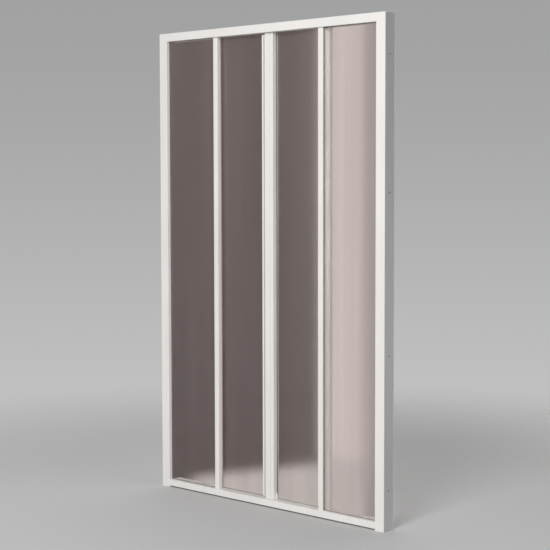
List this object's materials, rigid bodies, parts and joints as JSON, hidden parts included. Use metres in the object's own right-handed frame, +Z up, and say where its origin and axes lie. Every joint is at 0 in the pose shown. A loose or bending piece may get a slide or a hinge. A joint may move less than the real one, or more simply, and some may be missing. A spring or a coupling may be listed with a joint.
{
  "type": "sliding shower door",
  "caption": "White framed shower door for a recess: satin glass panels, the outer ones fixed, the inner ones sliding apart from the middle on hidden rollers.",
  "frame": {"origin": "middle of the footprint, on the surface that the sill stands on", "axes": "+X along the doorway to the right as seen from the room, +Y from the room into the shower, +Z up"},
  "size_m": [1.2, 0.058, 1.9],
  "materials": {
    "white_coat": "white satin powder coat over extruded aluminium",
    "bare_aluminium": "mill finish",
    "satin_glass": "satin, softly translucent",
    "grey_rubber": "matt",
    "magnet_strip": "matt",
    "white_plastic": "moulded satin",
    "nylon": "natural nylon",
    "steel": "plain stainless"
  },
  "bodies": {
    "frame": {"end_bumpers": "white_plastic", "fixed_gasket_left": "grey_rubber", "fixed_gasket_right": "grey_rubber", "fixed_glass_left": "satin_glass", "fixed_glass_right": "satin_glass", "fixed_stile_left": "white_coat", "fixed_stile_plugs": "white_plastic", "fixed_stile_right": "white_coat", "frame_screws": "steel", "head_filler": "white_plastic", "head_rail": "white_coat", "jamb_left": "white_coat", "jamb_lock_screws": "steel", "jamb_right": "white_coat", "jamb_top_caps": "white_plastic", "lip_seal_left": "grey_rubber", "lip_seal_right": "grey_rubber", "screw_caps": "white_plastic", "sill_filler": "white_plastic", "sill_rail": "white_coat", "sill_seal": "grey_rubber", "wall_channel_left": "bare_aluminium", "wall_channel_right": "bare_aluminium"},
    "left_leaf": {"meeting_stile_left": "white_coat", "trailing_stile_left": "white_coat", "leaf_top_rail_left": "white_coat", "leaf_bottom_rail_left": "white_coat", "leaf_glass_left": "satin_glass", "leaf_gasket_left": "grey_rubber", "magnet_seal_left": "magnet_strip", "hanger_brackets_left": "steel", "hanger_screws_left": "steel", "roller_axles_left": "steel", "leaf_screws_left": "steel", "guide_shoes_left": "nylon", "stile_foot_left": "white_plastic"},
    "right_leaf": {"meeting_stile_right": "white_coat", "trailing_stile_right": "white_coat", "leaf_top_rail_right": "white_coat", "leaf_bottom_rail_right": "white_coat", "leaf_glass_right": "satin_glass", "leaf_gasket_right": "grey_rubber", "magnet_seal_right": "magnet_strip", "hanger_brackets_right": "steel", "hanger_screws_right": "steel", "roller_axles_right": "steel", "leaf_screws_right": "steel", "guide_shoes_right": "nylon", "stile_foot_right": "white_plastic", "closing_strip": "white_coat"},
    "left_inner_roller": {"roller_left_inner": "nylon", "roller_bearing_left_inner": "steel"},
    "left_outer_roller": {"roller_left_outer": "nylon", "roller_bearing_left_outer": "steel"},
    "right_inner_roller": {"roller_right_inner": "nylon", "roller_bearing_right_inner": "steel"},
    "right_outer_roller": {"roller_right_outer": "nylon", "roller_bearing_right_outer": "steel"}
  },
  "joints": [
    {"name": "left_leaf_slide", "type": "slide", "parent": "frame", "child": "left_leaf", "axis": [-1, 0, 0], "range_m": [0, 0.238]},
    {"name": "right_leaf_slide", "type": "slide", "parent": "frame", "child": "right_leaf", "axis": [1, 0, 0], "range_m": [0, 0.238]},
    {"name": "left_inner_roller_spin", "type": "hinge", "parent": "left_leaf", "child": "left_inner_roller", "pos_m": [-0.055, 0.021, 1.8863], "axis": [0, 1, 0], "continuous": true},
    {"name": "left_outer_roller_spin", "type": "hinge", "parent": "left_leaf", "child": "left_outer_roller", "pos_m": [-0.258, 0.021, 1.8863], "axis": [0, 1, 0], "continuous": true},
    {"name": "right_inner_roller_spin", "type": "hinge", "parent": "right_leaf", "child": "right_inner_roller", "pos_m": [0.055, 0.021, 1.8863], "axis": [0, 1, 0], "continuous": true},
    {"name": "right_outer_roller_spin", "type": "hinge", "parent": "right_leaf", "child": "right_outer_roller", "pos_m": [0.258, 0.021, 1.8863], "axis": [0, 1, 0], "continuous": true}
  ],
  "couplings": [
    {"joint": "left_inner_roller_spin", "follows": "left_leaf_slide", "rad_per_m": -125},
    {"joint": "left_outer_roller_spin", "follows": "left_leaf_slide", "rad_per_m": -125},
    {"joint": "right_inner_roller_spin", "follows": "right_leaf_slide", "rad_per_m": 125},
    {"joint": "right_outer_roller_spin", "follows": "right_leaf_slide", "rad_per_m": 125}
  ]
}
